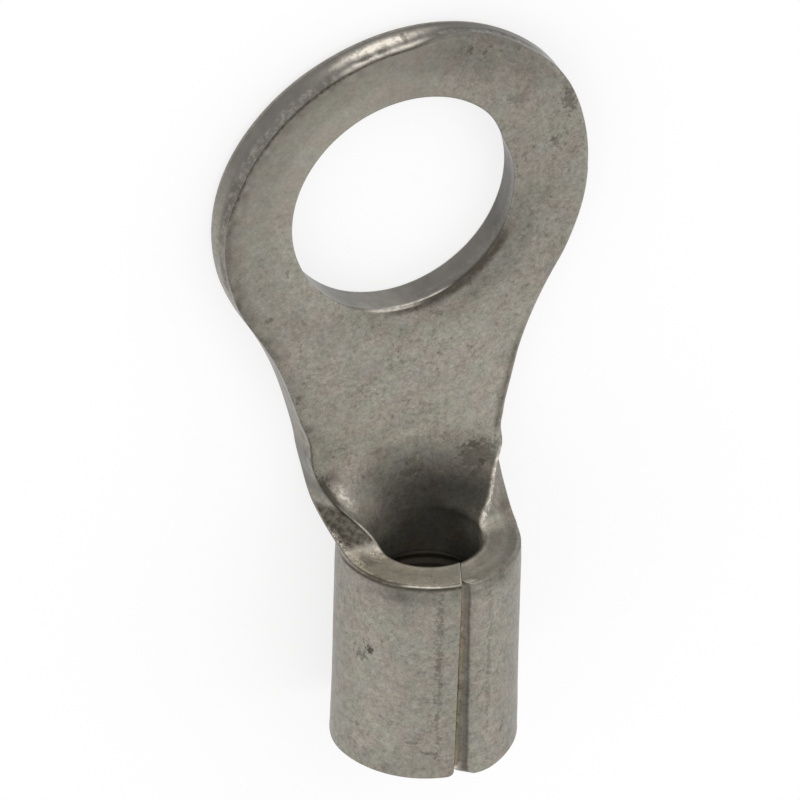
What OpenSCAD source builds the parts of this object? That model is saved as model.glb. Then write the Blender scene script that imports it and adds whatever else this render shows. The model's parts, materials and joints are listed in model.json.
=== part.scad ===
// Uninsulated ring terminal: one piece of sheet, stamped flat and then rolled.
// A flat tongue with a ring at its end opens out of a split barrel that is crimped on a wire.
// The terminal lies on its back: tongue underside and barrel back at Z = 0, seam on top.
// Origin: centre of the stud hole, on the underside. +Y points to the ring's tip.

/* [Sheet] */
// Thickness of the flat sheet
sheet = 0.8; // [0.5:0.05:1]

/* [Barrel] */
// Outside diameter of the rolled barrel
barrel_od = 4.0; // [3.6:0.1:4.8]
// Bore for the wire: rolling leaves the wall round it a little thicker than the flat sheet
barrel_bore = 2.3; // [1.9:0.05:2.5]
// Length of the barrel from the wire end to its rim
barrel_length = 4.95; // [4.2:0.05:5.5]
// Width of the butted seam at the wire end
seam_at_wire_end = 0.34; // [0.1:0.02:0.5]
// Width of the butted seam at the rim
seam_at_rim = 0.18; // [0.1:0.02:0.5]
// Number of wire-gripping grooves round the inside
groove_count = 3; // [1:1:4]
// Distance between grooves
groove_pitch = 1.15; // [0.7:0.05:1.2]
// Width of each groove
groove_w = 0.2; // [0.15:0.05:0.4]
// Depth of each groove
groove_depth = 0.08; // [0.04:0.02:0.12]

/* [Opening out] */
// Length over which the rolled sheet opens out flat
opening_length = 1.9; // [1.6:0.05:2.4]
// How soon it opens: a higher value opens nearer the rim
opening_haste = 3.3; // [2:0.1:4]
// Width of the sheet just past the fillets that join its edges to the rim
throat_w = 4.25; // [3.8:0.05:4.6]
// Reach of these fillets along the rim
fillet_across = 0.82; // [0.5:0.02:0.9]
// Reach of these fillets away from the rim
fillet_along = 0.58; // [0.4:0.02:0.8]

/* [Tongue] */
// Width of the neck where it is narrowest
neck_w = 4.4; // [3.8:0.05:4.8]
// Radius of the neck's concave sides
neck_side_r = 9.2; // [7:0.1:12]
// Lean of the tongue to the left of the barrel's line, in degrees
tongue_lean = 1.2; // [0:0.1:2]

/* [Ring] */
// Outside diameter of the ring
ring_od = 8.45; // [8:0.05:9.4]
// Diameter of the stud hole
stud_hole_d = 5.3; // [4.3:0.1:5.5]
// Distance along the barrel's line from the wire end to the stud hole's centre
wire_end_to_hole = 12.85; // [12.2:0.05:13.6]
// How far the ring's centre lies back from the hole's, towards the barrel
ring_set_back = 0.2; // [0:0.05:0.3]
// How far the hole's centre lies to the left of the tongue's centre line
hole_set_left = 0.05; // [0:0.01:0.1]
// Chamfer that stands for the rounding of the hole's upper edge
hole_edge = 0.08; // [0.04:0.02:0.12]

/* [Hidden] */
$fn = 96;
// How far a cut runs past a face
past = 0.1;
// The opening laps into the barrel and the tongue: how deep, how far it starts outside them,
// and how far its lapped ends stay inside their faces
lap_depth = 0.05;
lap_start = 0.005;
lap_inset = 0.01;
// Curvature below which the sheet counts as flat
least_bend = 0.00001;
// Steps across the opening's sheet, round its fillet and along the rest
steps_across = 44;
steps_fillet = 8;
steps_along = 14;

barrel_r = barrel_od / 2;
bore_r = barrel_bore / 2;
barrel_wall = barrel_r - bore_r;
mid_r = (barrel_r + bore_r) / 2;
ring_r = ring_od / 2;
neck_half = neck_w / 2;
throat_half = throat_w / 2;
wire_end_y = -wire_end_to_hole;
rim_y = wire_end_y + barrel_length;
flat_y = rim_y + opening_length;

// The tongue has its own frame, turned by its lean: u across it, v along it from its foot at flat_y
hole_u = -hole_set_left;
hole_v = (-flat_y - hole_u * sin(tongue_lean)) / cos(tongue_lean);
ring_v = hole_v - ring_set_back;
// Centres of the side arcs, placed so that each arc runs smoothly into the ring's circle
side_u = neck_half + neck_side_r;
side_v = ring_v - sqrt(pow(ring_r + neck_side_r, 2) - pow(side_u, 2));
touch_v = ring_v - ring_r * (ring_v - side_v) / (ring_r + neck_side_r);
// The stud hole is the origin, so the barrel's line lies this far to the right of it
barrel_x = hole_v * sin(tongue_lean) - hole_u * cos(tongue_lean);

tin = [0.56, 0.55, 0.51];

// Half-width of the leaned tongue across its foot, on one side: 1 right, -1 left
function foot_half(side) =
    let (lean = tan(tongue_lean))
    let (a = 1 + lean * lean)
    let (b = -2 * (side * side_u - lean * side_v))
    let (c = side_u * side_u + side_v * side_v - neck_side_r * neck_side_r)
    let (u = side_v > 0 ? side * neck_half : (-b - side * sqrt(b * b - 4 * a * c)) / (2 * a))
    side * u / cos(tongue_lean);

// Levels along the opening, from the rim to the flat: distance from the rim, left half-width,
// right half-width, and how far the section is drawn in
levels = [
    for (along = [-lap_depth, lap_start])
        [along, throat_half + fillet_across, throat_half + fillet_across, lap_inset],
    for (i = [1 : steps_fillet - 1])
        let (turn = 90 * i / steps_fillet)
        let (half = throat_half + fillet_across * (1 - sin(turn)))
        [fillet_along * (1 - cos(turn)), half, half, 0],
    for (i = [0 : steps_along - 1])
        let (part = i / steps_along)
        [fillet_along + part * (opening_length - fillet_along),
         throat_half + (foot_half(-1) - throat_half) * part * part,
         throat_half + (foot_half(1) - throat_half) * part * part, 0],
    for (along = [-lap_start, lap_depth])
        [opening_length + along, foot_half(-1), foot_half(1), lap_inset]
];

// Curvature of the sheet at a distance from the rim: the barrel's at the rim, none at the flat
function curvature(along) =
    let (part = max(0, min(1, along / opening_length)))
    pow(1 - part, opening_haste) * (1 + opening_haste * part) / mid_r;

// Thickness at a distance from the rim: the barrel wall's at the rim, the flat sheet's at the flat
function thickness(along) =
    let (part = max(0, min(1, along / opening_length)))
    sheet + (barrel_wall - sheet) * pow(1 - part, 2);

// Point of the bent sheet at an arc length from its centre line, offset from its middle
function bent(arc, offset, bend, thick) =
    let (turn = bend * arc * 180 / PI)
    bend < least_bend
        ? [arc, thick / 2 - offset]
        : [sin(turn) * (1 / bend + offset), thick / 2 + 1 / bend - cos(turn) * (1 / bend + offset)];

// Arc length of one step across a level, from just inside its left edge to just inside its right
function arc_at(level, step) =
    level[3] - level[1] + (level[1] + level[2] - 2 * level[3]) * step / steps_across;

// Closed outline of the sheet at a level: its underside left to right, then its upper side back
function section(level) =
    let (bend = curvature(level[0]))
    let (y = rim_y + level[0])
    let (thick = thickness(level[0]))
    let (half = thick / 2 - level[3])
    [
        for (j = [0 : steps_across])
            let (p = bent(arc_at(level, j), half, bend, thick))
            [p[0], y, p[1]],
        for (j = [steps_across : -1 : 0])
            let (p = bent(arc_at(level, j), -half, bend, thick))
            [p[0], y, p[1]]
    ];

// Straight tube along the wire, split on top, with grooves inside
module barrel() {
    groove_y = barrel_length / 2 - groove_pitch * (groove_count - 1) / 2;
    color(tin) difference() {
        translate([0, wire_end_y, barrel_r]) rotate([-90, 0, 0]) difference() {
            cylinder(h = barrel_length, r = barrel_r);
            translate([0, 0, -past]) cylinder(h = barrel_length + 2 * past, r = bore_r);
            for (i = [0 : groove_count - 1])
                translate([0, 0, groove_y + i * groove_pitch - groove_w / 2])
                    cylinder(h = groove_w, r = bore_r + groove_depth);
        }
        translate([0, 0, barrel_r]) linear_extrude(barrel_r + past) polygon([
            [-seam_at_wire_end / 2, wire_end_y - past],
            [seam_at_wire_end / 2, wire_end_y - past],
            [seam_at_rim / 2, rim_y + past],
            [-seam_at_rim / 2, rim_y + past]
        ]);
    }
}

// Trough that opens from the barrel's rim into the flat tongue, with the sheet's cut edge turning
module opening() {
    loop = 2 * (steps_across + 1);
    last = len(levels) - 1;
    top = last * loop;
    color(tin) polyhedron(
        points = [for (level = levels) each section(level)],
        faces = [
            for (i = [0 : last - 1], k = [0 : loop - 1])
                let (next = (k + 1) % loop)
                [i * loop + k, i * loop + next, (i + 1) * loop + next, (i + 1) * loop + k],
            for (j = [0 : steps_across - 1])
                [loop - 1 - j, loop - 2 - j, j + 1, j],
            for (j = [0 : steps_across - 1])
                [top + j, top + j + 1, top + loop - 2 - j, top + loop - 1 - j]
        ],
        convexity = 6
    );
}

// Outline of the tongue in its own frame: ring above the line where the side arcs touch it
module tongue_outline() {
    intersection() {
        translate([0, ring_v]) circle(ring_r);
        translate([-ring_od, touch_v]) square([2 * ring_od, 2 * ring_od]);
    }
    difference() {
        translate([-ring_od, -sheet]) square([2 * ring_od, touch_v + sheet]);
        for (side = [-1, 1]) {
            translate([side * side_u, side_v]) circle(neck_side_r);
            if (side_v > -sheet)
                translate([side > 0 ? neck_half : -neck_half - ring_od, -sheet - past])
                    square([ring_od, side_v + sheet + past]);
        }
    }
}

// Flat neck and ring with the stud hole
module tongue() {
    color(tin) difference() {
        linear_extrude(sheet) intersection() {
            translate([0, flat_y]) rotate(tongue_lean) tongue_outline();
            translate([-ring_od, flat_y]) square([2 * ring_od, 2 * wire_end_to_hole]);
        }
        translate([-barrel_x, 0, -past]) cylinder(h = sheet + 2 * past, d = stud_hole_d);
        translate([-barrel_x, 0, sheet - hole_edge])
            cylinder(h = 2 * hole_edge, d1 = stud_hole_d, d2 = stud_hole_d + 4 * hole_edge);
    }
}

module ring_terminal() {
    translate([barrel_x, 0, 0]) union() {
        barrel();
        opening();
        tongue();
    }
}

ring_terminal();
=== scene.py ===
"""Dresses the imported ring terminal: one sheet of tinned copper with worked edges and a matte finish."""

import functools
import json
import math

import bpy
import numpy as np
from mathutils import Matrix, Vector


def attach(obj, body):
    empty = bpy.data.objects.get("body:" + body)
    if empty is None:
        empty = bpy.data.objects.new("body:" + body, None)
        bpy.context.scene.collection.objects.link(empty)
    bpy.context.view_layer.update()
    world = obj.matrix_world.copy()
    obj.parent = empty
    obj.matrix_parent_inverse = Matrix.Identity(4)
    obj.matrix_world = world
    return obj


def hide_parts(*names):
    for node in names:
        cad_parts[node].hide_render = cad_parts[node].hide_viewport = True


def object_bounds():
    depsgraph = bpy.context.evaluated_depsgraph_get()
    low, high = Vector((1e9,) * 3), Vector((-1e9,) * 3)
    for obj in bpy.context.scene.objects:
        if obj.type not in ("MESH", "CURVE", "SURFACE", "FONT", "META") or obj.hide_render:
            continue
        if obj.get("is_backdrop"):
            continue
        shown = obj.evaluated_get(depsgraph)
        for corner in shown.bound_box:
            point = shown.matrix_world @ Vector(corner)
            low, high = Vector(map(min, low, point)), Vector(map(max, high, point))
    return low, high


bl_info = {
    "name": "Ring Terminal",
    "version": (1, 0, 0),
    "blender": (4, 5, 0),
    "location": "View3D > Sidebar > Terminal",
    "description": "Builds an uninsulated ring terminal from its sizes",
    "category": "Add Mesh",
}

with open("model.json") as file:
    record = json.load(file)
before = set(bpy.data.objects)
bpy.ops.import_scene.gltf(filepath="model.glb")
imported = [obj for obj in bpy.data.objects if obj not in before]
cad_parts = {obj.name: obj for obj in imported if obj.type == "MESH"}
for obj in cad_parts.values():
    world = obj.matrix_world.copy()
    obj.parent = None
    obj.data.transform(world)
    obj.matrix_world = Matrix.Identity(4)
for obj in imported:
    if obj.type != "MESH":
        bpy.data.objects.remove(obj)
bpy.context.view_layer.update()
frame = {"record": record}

MOUNTS = {m["name"]: m for m in frame["record"]["mounts"]}
MM = 0.001
STUD_R = MOUNTS["stud_hole"]["dims"]["r_mm"] * MM
BORE_R = MOUNTS["wire_barrel"]["dims"]["r_mm"] * MM
BARREL_LENGTH = MOUNTS["wire_barrel"]["dims"]["length_mm"] * MM
BARREL_X, WIRE_END_Y, BARREL_Z = MOUNTS["wire_barrel"]["pos_m"]
SHEET = MOUNTS["tongue_upper_face"]["pos_m"][2]

NODE = "ring_terminal"


def length(name, description, default):
    """A size in metres, shown in the scene's unit of length."""
    return bpy.props.FloatProperty(name=name, description=description, default=default,
                                   unit="LENGTH", subtype="DISTANCE", precision=5)


def colour(name, description, default):
    """A colour with red, green and blue from 0 to 1."""
    return bpy.props.FloatVectorProperty(name=name, description=description, default=default,
                                         subtype="COLOR", size=3, min=0, max=1)


class TerminalSizes(bpy.types.PropertyGroup):
    """Sizes of the sheet and of the form it is rolled to"""
    sheet: length("Sheet", "Thickness of the sheet", SHEET)
    bore_r: length("Bore radius", "Inside radius of the barrel", BORE_R)
    barrel_r: length("Barrel radius", "Outside radius of the barrel", BARREL_Z)
    barrel_length: length("Barrel length", "From the wire end to the rim", BARREL_LENGTH)
    seam_wire_end: length("Seam at wire end", "Gap of the seam on the outside, at the wire end", 0.36 * MM)
    seam_rim: length("Seam at rim", "Gap of the seam on the outside, at the rim", 0.235 * MM)
    opening_length: length("Opening length", "Length over which the sheet opens out flat", 1.9 * MM)
    throat_w: length("Throat width", "Width of the sheet just past the rim's fillets", 4.25 * MM)
    fillet_across: length("Fillet across", "Reach of the rim's fillets along the rim", 0.82 * MM)
    fillet_along: length("Fillet along", "Reach of the rim's fillets away from the rim", 0.58 * MM)
    neck_w: length("Neck width", "Width of the neck at its narrowest", 4.4 * MM)
    neck_side_r: length("Neck side radius", "Radius of the neck's concave sides", 9.2 * MM)
    ring_r: length("Ring radius", "Mean outside radius of the ring", 4.225 * MM)
    stud_r: length("Stud hole radius", "Radius of the stud hole", STUD_R)
    ring_set_back: length("Ring set back", "Ring centre behind the hole's centre", 0.2 * MM)
    hole_set_left: length("Hole set left", "Hole centre left of the tongue's line", 0.05 * MM)
    sharp_edge_r: length("Sharp edge radius", "Rounding of the edges that the punch left sharp", 0.03 * MM)
    worn_edge_r: length("Worn edge radius", "Rounding of the edges that were pressed round", 0.20 * MM)
    lower_edge_r: length("Lower edge radius", "Rounding of the edge where the punch went in", 0.15 * MM)
    groove_depth: length("Groove depth", "Depth of the grooves that grip the wire", 0.08 * MM)
    mesh_step: length("Mesh step", "Distance between the points of the surface", 0.064 * MM)


class TerminalFinish(bpy.types.PropertyGroup):
    """Colours of the tin, of what lies on it, and of the painted highlights and shade"""
    tin: colour("Tin", "Matte tin", (0.262, 0.252, 0.210))
    warm: colour("Warm patches", "Tin with a pinkish cast", (0.272, 0.241, 0.207))
    cool: colour("Cool patches", "Tin with a bluish cast", (0.255, 0.250, 0.224))
    # The cut edge's own smoother, darker grey, which also lays painted shade on the walls
    cut: colour("Cut edge", "Smoother, darker metal of the cut edges", (0.165, 0.156, 0.140))
    # Specks and dirt, and the colour of the painted shade in the creases, the slot and the bore
    dark: colour("Dark specks", "Specks, hair marks and dirt", (0.075, 0.066, 0.052))
    # Colour of the painted highlights on the edges
    highlight_colour: colour("Rubbed metal", "Burnished metal on the edges", (0.93, 0.86, 0.75))


# Bumps of the ring's outline: height in metres, direction and width in degrees
RING_BUMPS = ((0.05 * MM, 35, 14), (-0.035 * MM, 190, 22), (0.03 * MM, 226, 12), (0.03 * MM, 345, 14))
# Waves that the punch left in the ring's outline: count, height in metres, direction in degrees
RING_WAVES = ((0, 0.044 * MM, 0), (1, 0.049 * MM, 99), (2, 0.048 * MM, 26), (3, 0.061 * MM, 44))
# Turn past the neck over which the waves and bumps fade in, in radians
RING_FADE = 0.35
# Lean of the stud hole's upper edge: millimetres, direction and width in degrees
HOLE_LEANS = ((0.10, 0, 30), (0.085, 26, 12), (0.02, 98, 35))
# Swelling of the neck's left side and burr of the wire end: height, centre and width in millimetres
NECK_SWELLS = ((0.055, -5.05, 1.2), (0.035, -6.3, 0.4))
WIRE_BURRS = ((0.085, 4.45, 0.55), (0.06, -2.1, 0.6))
# How soon the sheet opens out: a higher value opens it nearer the rim
OPENING_HASTE = 3.3
# Curvature that counts as flat, as one over metres
LEAST_CURVATURE = 1e-3
# How far the tongue leans to the left of the barrel's line
TONGUE_LEAN = math.radians(1.2)
# The grooves that grip the wire, their distance, width and eased sides, and how far their shade reaches
GROOVE_COUNT = 3
GROOVE_PITCH = 1.15 * MM
GROOVE_W = 0.2 * MM
GROOVE_EASE = 0.05 * MM
GROOVE_SHADE = 0.15 * MM
# Distances from an edge at which the surface has lines of points, so that its rounding is smooth
EDGE_LINES = np.array([0, 0.012, 0.032, 0.06, 0.095, 0.135, 0.185]) * MM
# Heights of the lines of points on the cut edge, as shares of the sheet, closest under its sharp upper corner
WALL_LEVELS = np.array([0.05, 0.13, 0.22, 0.31, 0.40, 0.48, 0.56, 0.63,
                        0.70, 0.77, 0.83, 0.88, 0.92, 0.95, 0.975])
# Sideways run of the seam's cut faces for each metre of depth: the left face, then the right one's bevel
SEAM_SLANT = 0.36
BEVEL_SLANT = -1.0
# Shares of the outside gap left of the barrel's top line, at the wire end and the rim
SEAM_LEFT_SHARES = (0.49, 0.40)
# Gap of the seam further in, where its faces nearly meet, and half of the gap that the blank leaves
SEAM_HAIRLINE = 0.001 * MM
SEAM_BASE_HALF_GAP = 0.05 * MM
# How far from the seam its slants reach
SEAM_REACH = 0.7 * MM
# Rounding of the seam's corners at the wire end and the rim
WIRE_CORNER_R = 0.12 * MM
RIM_CORNER_R = 0.006 * MM
# Where the neck's straight rows end, below the stud hole, and the ring's width for the spacing of its lines
JOIN_BELOW_HOLE = 0.75 * MM
RING_WIDTH = 1.45 * MM
# Rows of points round the fillet that joins the opening to the rim
FILLET_ROWS = 14
# The neck's slanting sides are longer than their rise by about this factor
SIDE_STRETCH = 1.1
# Rounds after which the search for the foot's end has settled
FOOT_ROUNDS = 20
# Points whose distances to the outline are worked out together
POINTS_AT_ONCE = 1500
# Points of the four grids that are nearer than this are one point
WELD_STEP = 1e-5 * MM
# Rows and columns of random heights before the noise repeats
NOISE_CELLS = (97, 89)


def graded(span, step, both=True):
    """Shares from 0 to 1 of a span: close together at its ends as EDGE_LINES says, then even."""
    ends = EDGE_LINES / span
    last = 1 - ends[-1] if both else 1.0
    count = max(2, int(round((last - ends[-1]) * span / step)))
    middle = np.linspace(ends[-1], last, count + 1)
    tail = (1 - ends[::-1])[1:] if both else middle[:0]
    return np.concatenate([ends[:-1], middle, tail])


def eased(x, low, high):
    """0 below low and 1 above high, with a smooth step between."""
    t = np.clip((x - low) / (high - low), 0, 1)
    return t * t * (3 - 2 * t)


def faded(x, low, high):
    """1 below low and 0 above high, with a smooth step between."""
    return 1 - eased(x, low, high)


def hump(x, centre, width):
    """A smooth hump of height 1 about a centre."""
    return np.exp(-((x - centre) / width) ** 2)


def humps(x, table):
    """Sum of humps, each given by its height, centre and width."""
    return sum(height * hump(x, centre, width) for height, centre, width in table)


def strongest(*masks):
    """The highest of several masks at each point."""
    return functools.reduce(np.maximum, masks)


def smooth_noise(x, y, size, seed):
    """Value noise from -1 to 1: random heights on a square lattice of the given size, eased between."""
    table = np.random.default_rng(seed).uniform(-1, 1, NOISE_CELLS)
    u, v = x / size, y / size
    i, j = np.floor(u).astype(int), np.floor(v).astype(int)
    fu, fv = eased(u - i, 0, 1), eased(v - j, 0, 1)

    def at(a, b):
        return table[a % NOISE_CELLS[0], b % NOISE_CELLS[1]]

    low = at(i, j) * (1 - fu) + at(i + 1, j) * fu
    high = at(i, j + 1) * (1 - fu) + at(i + 1, j + 1) * fu
    return low * (1 - fv) + high * fv


def rounded(distance, radius):
    """How far a face drops at a distance from an edge that is rounded to the given radius."""
    inside = np.clip(radius - distance, 0, radius)
    return radius - np.sqrt(radius * radius - inside * inside)


class Blank:
    """The flat sheet before it is rolled. Across is measured from the barrel's line, along is the row's Y."""

    def __init__(self, sizes):
        self.s = sizes
        self.mid_r = (sizes.bore_r + sizes.barrel_r) / 2
        self.wall = sizes.barrel_r - sizes.bore_r
        self.wire_end = WIRE_END_Y
        self.rim = WIRE_END_Y + sizes.barrel_length
        self.flat = self.rim + sizes.opening_length
        self.cos, self.sin = math.cos(TONGUE_LEAN), math.sin(TONGUE_LEAN)
        hole_u = -sizes.hole_set_left
        self.hole_v = (-self.flat - hole_u * self.sin) / self.cos
        self.ring_v = self.hole_v - sizes.ring_set_back
        self.side_u = sizes.neck_w / 2 + sizes.neck_side_r
        reach = sizes.ring_r + sizes.neck_side_r
        self.side_v = self.ring_v - math.sqrt(reach ** 2 - self.side_u ** 2)
        self.touch_v = self.ring_v - sizes.ring_r * (self.ring_v - self.side_v) / reach
        self.join_v = self.hole_v - sizes.stud_r - JOIN_BELOW_HOLE
        self.half_round = math.pi * self.mid_r - SEAM_BASE_HALF_GAP
        self.touch = math.asin((self.ring_v - self.touch_v) / sizes.ring_r)
        self.shoulder = sizes.throat_w / 2 + sizes.fillet_across

    def lean(self, u, v):
        """A point of the tongue's own frame, which leans to the left about its foot."""
        return np.stack([u * self.cos - v * self.sin, self.flat + u * self.sin + v * self.cos], -1)

    def side(self, sign, v):
        """Concave side of the neck, a circle's arc, at a distance along the tongue."""
        u = sign * (self.side_u - np.sqrt(self.s.neck_side_r ** 2 - (v - self.side_v) ** 2))
        return self.lean(u, v)

    def foot_v(self, sign):
        """How far along the tongue its side meets the line where the sheet becomes flat."""
        v = 0.0
        for _ in range(FOOT_ROUNDS):
            u = sign * (self.side_u - math.sqrt(self.s.neck_side_r ** 2 - (v - self.side_v) ** 2))
            v = -u * self.sin / self.cos
        return v

    def seam_half(self, along):
        """Half of the sheet's width in the barrel: half the way round, less a gap and rounded corners."""
        at_wire = rounded(along - self.wire_end, WIRE_CORNER_R)
        return self.half_round - at_wire - rounded(self.rim - along, RIM_CORNER_R)

    def seam_gap(self, along):
        """Gap of the seam on the outside, which tapers to the rim, and the share of the way to there."""
        share = np.clip((along - self.wire_end) / (self.rim - self.wire_end), 0, 1)
        return self.s.seam_wire_end + (self.s.seam_rim - self.s.seam_wire_end) * share, share

    def seam_shift(self, a, along, level):
        """How far a point near the seam moves round the barrel, so that the cut faces get their slants.

        Level runs from 0 on the outside to 1 in the bore. The left face runs inwards to the right in a plane.
        The right face starts further right, slants to the left and then follows the left face.
        """
        gap, share = self.seam_gap(along)
        depth = self.wall * level
        on_left = SEAM_LEFT_SHARES[0] + (SEAM_LEFT_SHARES[1] - SEAM_LEFT_SHARES[0]) * share
        ragged = 0.006 * MM * smooth_noise(along, 0 * along, 0.22 * MM, 41)
        left_x = -on_left * gap + SEAM_SLANT * depth
        right_x = np.maximum((1 - on_left) * gap + ragged + BEVEL_SLANT * depth, left_x + SEAM_HAIRLINE)
        r = self.s.barrel_r - depth
        to_left = -self.mid_r * (math.pi + np.arcsin(left_x / r)) + self.half_round
        to_right = self.mid_r * (math.pi - np.arcsin(right_x / r)) - self.half_round
        at_left = faded(self.half_round + a, 0, SEAM_REACH)
        return at_left * to_left + faded(self.half_round - a, 0, SEAM_REACH) * to_right

    def edge_shift(self, a, along, level):
        """How far points move across and along, mostly on the upper side, where the cut faces aren't square.

        The stud hole's upper edge leans in on its right, and the ring's and the neck's on their left. The
        right wing's upper edge is straighter than its lower one, and its top bulges a little. The rim leans
        forward left of the seam, and the wire end has a burr.
        """
        p = Places(self, a, along)
        width = (self.s.ring_r - self.s.stud_r) / MM
        flank = eased(p.around % 360, 70, 92) * faded(p.around % 360, 176, 208)
        pull = faded(p.from_hole, 0, 0.4) * humps(p.around, HOLE_LEANS)
        pull = (pull + 0.155 * flank * eased(p.from_hole, width - 0.8, width)) * level
        on_left, on_right = eased(-p.a, 1.4, 2.2), eased(p.a, 1.4, 2.2)
        neck = 0.10 * on_left * hump(p.along, -5.75, 0.65)
        swell = on_left * humps(p.along, NECK_SWELLS) - 0.035 * on_right * hump(p.along, -5.1, 0.6)
        on_wing = eased(p.a, 0.8, 2.0) * faded(p.a, 2.9, 3.6)
        wing = 0.225 * hump(p.from_rim, 0.34, 0.36) * on_wing
        bulge = 0.105 * hump(p.from_rim, 1.22, 0.28) * on_wing
        rim_lean = (0.035 - 0.023 * level) * hump(p.from_rim, 0, 0.25) * eased(-p.a, 3.5, 4.1)
        burr = faded(p.from_wire, 0.1, 1.0) * humps(p.a, WIRE_BURRS)
        side = (neck + wing) * level + bulge - swell
        on = rim_lean - burr
        return (side - pull * p.x / p.out) * MM, (on - pull * p.along / p.out) * MM

    def barrel(self, across):
        """Rows along the barrel, from seam to seam. The middle of the last one is the opening's first row."""
        rows = self.wire_end + graded(self.s.barrel_length, self.s.mesh_step) * self.s.barrel_length
        rows[-1] = self.rim
        flank = graded(math.pi * self.mid_r - self.shoulder, self.s.mesh_step, both=False)
        half = self.seam_half(rows)[:, None]
        left = -half + (half - self.shoulder) * flank[None, :-1]
        middle = np.broadcast_to(-self.shoulder + 2 * self.shoulder * across, (len(rows), len(across)))
        a = np.concatenate([left, middle, -left[:, ::-1]], 1)
        return np.stack([a, np.broadcast_to(rows[:, None], a.shape)], -1)

    def opening(self, across):
        """Rows from the rim to the flat: a fillet that starts along the rim, then a slowly widening sheet."""
        turn = np.linspace(0, math.pi / 2, FILLET_ROWS + 1)[:-1]
        rows_low = self.s.fillet_along * (1 - np.cos(turn))
        half_low = self.s.throat_w / 2 + self.s.fillet_across * (1 - np.sin(turn))
        count = int(round((self.s.opening_length - self.s.fillet_along) / self.s.mesh_step))
        part = np.linspace(0, 1, count + 1)
        rows_high = self.s.fillet_along + part * (self.s.opening_length - self.s.fillet_along)
        ends = []
        for sign in (-1, 1):
            foot = self.side(sign, np.array([self.foot_v(sign)]))[0, 0]
            throat = sign * self.s.throat_w / 2
            ends.append(np.concatenate([sign * half_low, throat + (foot - throat) * part ** 2]))
        rows = self.rim + np.concatenate([rows_low, rows_high])
        rows[-1] = self.flat
        a = ends[0][:, None] * (1 - across) + ends[1][:, None] * across
        a[0] = -self.shoulder + 2 * self.shoulder * across
        return np.stack([a, np.broadcast_to(rows[:, None], a.shape)], -1)

    def neck(self, across, foot_row):
        """Rows straight across from the left side's arc to the right side's, from the foot to the hole."""
        count = int(round(self.join_v / self.s.mesh_step))
        q = np.linspace(0, 1, count + 1)
        left, right = (self.side(s, self.foot_v(s) + q * (self.join_v - self.foot_v(s))) for s in (-1, 1))
        grid = left[:, None] * (1 - across[None, :, None]) + right[:, None] * across[None, :, None]
        grid[0] = foot_row
        return grid

    def ring_outline(self, turn):
        """Circle about the ring's centre with the low waves that the punch left, faded out at the neck."""
        from_neck = np.abs((turn + 1.5 * math.pi) % (2 * math.pi) - math.pi)
        start = math.pi / 2 - self.touch
        waves = sum(height * np.cos(count * (turn + TONGUE_LEAN - math.radians(direction)))
                    for count, height, direction in RING_WAVES)
        waves = waves + humps(np.degrees(turn) % 360, RING_BUMPS)
        radius = self.s.ring_r + eased(from_neck, start, start + RING_FADE) * waves
        return self.lean(radius * np.cos(turn), self.ring_v + radius * np.sin(turn))

    def ring(self, join_row):
        """Lines from the stud hole out to the outline: the neck's last row, its sides and the circle."""
        s = self.s
        rise = self.touch_v - self.join_v
        count = max(3, int(round(rise * SIDE_STRETCH / s.mesh_step)))
        up = self.join_v + rise * np.linspace(0, 1, count + 1)[1:-1]
        sweep = math.pi + 2 * self.touch
        turn = -self.touch + sweep * np.linspace(0, 1, int(round(sweep * s.ring_r / s.mesh_step)) + 1)
        outer = np.concatenate([join_row, self.side(1, up), self.ring_outline(turn), self.side(-1, up[::-1])])
        centre = np.array([-BARREL_X, 0.0])
        angle = np.arctan2(outer[:, 1] - centre[1], outer[:, 0] - centre[0])
        inner = centre + s.stud_r * np.stack([np.cos(angle), np.sin(angle)], -1)
        share = graded(RING_WIDTH, s.mesh_step)[None, :, None]
        grid = inner[:, None] + share * (outer - inner)[:, None]
        grid[:, -1] = outer
        return grid

    def mesh(self):
        """Welds the four grids into one flat mesh of quads and returns its points and faces."""
        across = graded(self.s.throat_w, self.s.mesh_step)
        barrel = self.barrel(across)
        opening = self.opening(across)
        flank = (barrel.shape[1] - len(across)) // 2
        barrel[-1, flank:flank + len(across)] = opening[0]
        neck = self.neck(across, opening[-1])
        ring = self.ring(neck[-1])
        points, faces, start = [], [], 0
        for grid in (barrel, opening, neck, ring):
            ids = start + np.arange(grid.shape[0] * grid.shape[1]).reshape(grid.shape[:2])
            start += ids.size
            if grid is ring:
                ids = np.concatenate([ids, ids[:1]])
            quads = np.stack([ids[:-1, :-1], ids[:-1, 1:], ids[1:, 1:], ids[1:, :-1]], -1)
            points.append(grid.reshape(-1, 2))
            faces.append(quads.reshape(-1, 4))
        points, faces = np.concatenate(points), np.concatenate(faces)
        _, first, weld = np.unique(np.round(points / WELD_STEP).astype(np.int64), axis=0,
                                   return_index=True, return_inverse=True)
        return points[first], weld.reshape(-1)[faces]


def outline_edges(faces, count):
    """Edges of the quads that no other quad shares, each pointing with the sheet on its left."""
    edges = np.concatenate([faces[:, [k, (k + 1) % 4]] for k in range(4)])
    code = edges[:, 0] * count + edges[:, 1]
    back = edges[:, 1] * count + edges[:, 0]
    return edges[~np.isin(code, back)]


def distance_to_outline(points, edges):
    """Distance from each point to the nearest edge of the outline, worked out for some points at a time."""
    a, b = points[edges[:, 0]], points[edges[:, 1]]
    run = b - a
    best = np.full(len(points), np.inf)
    for part in np.array_split(np.arange(len(points)), max(1, len(points) // POINTS_AT_ONCE)):
        rel = points[part, None] - a[None]
        t = np.clip((rel * run).sum(-1) / (run * run).sum(-1), 0, 1)
        best[part] = np.hypot(*np.moveaxis(rel - t[..., None] * run, -1, 0)).min(1)
    return best


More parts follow.
